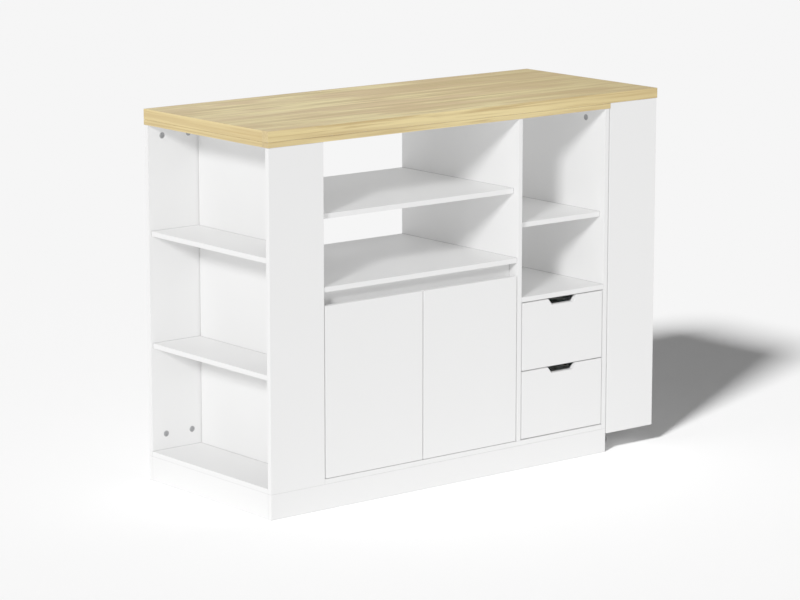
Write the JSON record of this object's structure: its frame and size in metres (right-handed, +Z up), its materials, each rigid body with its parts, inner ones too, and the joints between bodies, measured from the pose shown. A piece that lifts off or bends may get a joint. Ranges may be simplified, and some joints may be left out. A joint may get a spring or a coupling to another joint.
{
  "type": "kitchen island unit",
  "caption": "White kitchen island on a plinth with an oak top that slides out on a wheeled leg, open shelves at the end and above, a two-door cupboard and a drawer bay",
  "frame": {"origin": "middle of the footprint, on the floor", "axes": "+X along the length to the wheeled leg, -Y out of the doors and drawers, +Z up"},
  "size_m": [1.2, 0.488, 0.9],
  "materials": {
    "white_board": "satin white melamine facing on board, with thin white edge bands",
    "oak_board": "light oak facing, matt, with the grain along the length",
    "plated_steel": "zinc-plated steel, satin",
    "rail_aluminium": "drawn aluminium, satin",
    "white_plastic": "moulded white plastic, slightly waxy",
    "black_plastic": "moulded black nylon with a fine texture",
    "wheel_rubber": "black tread, matt",
    "beech": "fluted beech dowel, raw"
  },
  "bodies": {
    "carcass": {"counter_top": "oak_board", "glide_strips": "white_plastic", "guide_shoes": "white_plastic", "end_front_panel": "white_board", "end_back_panel": "white_board", "end_inner_wall": "white_board", "end_bottom_board": "white_board", "end_shelves": "white_board", "plinth_front": "white_board", "plinth_back": "white_board", "plinth_ends": "white_board", "plinth_stretchers": "white_board", "bottom_board": "white_board", "divider": "white_board", "right_side_panel": "white_board", "open_shelf": "white_board", "cupboard_top": "white_board", "finger_rail": "white_board", "cupboard_back": "white_board", "drawer_bay_back": "white_board", "bay_shelf": "white_board", "drawer_deck": "white_board", "cam_locks": "plated_steel", "cam_bolts": "plated_steel", "dowels": "beech", "carcass_screws": "plated_steel", "hinge_arms": "plated_steel", "door_catches": "white_plastic", "fixed_runners": "plated_steel"},
    "table": {"table_top": "oak_board", "guide_rails": "rail_aluminium", "leg_front_panel": "white_board", "leg_back_panel": "white_board", "leg_inner_panel": "white_board", "leg_bottom_board": "white_board", "leg_shelves": "white_board", "leg_brackets": "plated_steel", "leg_dowels": "beech", "leg_screws": "plated_steel", "caster_plates": "plated_steel"},
    "caster_front": {"front_caster_fork": "black_plastic", "front_caster_axle": "plated_steel"},
    "wheel_front": {"front_caster_wheel": "wheel_rubber"},
    "caster_back": {"back_caster_fork": "black_plastic", "back_caster_axle": "plated_steel"},
    "wheel_back": {"back_caster_wheel": "wheel_rubber"},
    "door_left": {"left_door": "white_board", "left_hinge_cups": "plated_steel"},
    "door_right": {"right_door": "white_board", "right_hinge_cups": "plated_steel"},
    "drawer_upper": {"upper_drawer_front": "white_board", "upper_drawer_sides": "white_board", "upper_drawer_back": "white_board", "upper_drawer_bottom": "white_board", "upper_drawer_runners": "plated_steel"},
    "drawer_lower": {"lower_drawer_front": "white_board", "lower_drawer_sides": "white_board", "lower_drawer_back": "white_board", "lower_drawer_bottom": "white_board", "lower_drawer_runners": "plated_steel"}
  },
  "joints": [
    {"name": "table_slide", "type": "slide", "parent": "carcass", "child": "table", "axis": [1, 0, 0], "range_m": [0, 0.6]},
    {"name": "caster_front_swivel", "type": "hinge", "parent": "table", "child": "caster_front", "pos_m": [0.48, -0.19, 0.041], "axis": [0, 0, 1], "continuous": true},
    {"name": "wheel_front_spin", "type": "hinge", "parent": "caster_front", "child": "wheel_front", "pos_m": [0.47, -0.19, 0.0175], "axis": [0, 1, 0], "continuous": true},
    {"name": "caster_back_swivel", "type": "hinge", "parent": "table", "child": "caster_back", "pos_m": [0.48, 0.19, 0.041], "axis": [0, 0, 1], "continuous": true},
    {"name": "wheel_back_spin", "type": "hinge", "parent": "caster_back", "child": "wheel_back", "pos_m": [0.47, 0.19, 0.0175], "axis": [0, 1, 0], "continuous": true},
    {"name": "door_left_hinge", "type": "hinge", "parent": "carcass", "child": "door_left", "pos_m": [-0.42962, -0.2365, 0.27725], "axis": [0, 0, -1], "range_deg": [0, 92]},
    {"name": "door_right_hinge", "type": "hinge", "parent": "carcass", "child": "door_right", "pos_m": [0.13562, -0.2365, 0.27725], "axis": [0, 0, 1], "range_deg": [0, 92]},
    {"name": "drawer_upper_slide", "type": "slide", "parent": "carcass", "child": "drawer_upper", "axis": [0, -1, 0], "range_m": [0, 0.28]},
    {"name": "drawer_lower_slide", "type": "slide", "parent": "carcass", "child": "drawer_lower", "axis": [0, -1, 0], "range_m": [0, 0.28]}
  ]
}
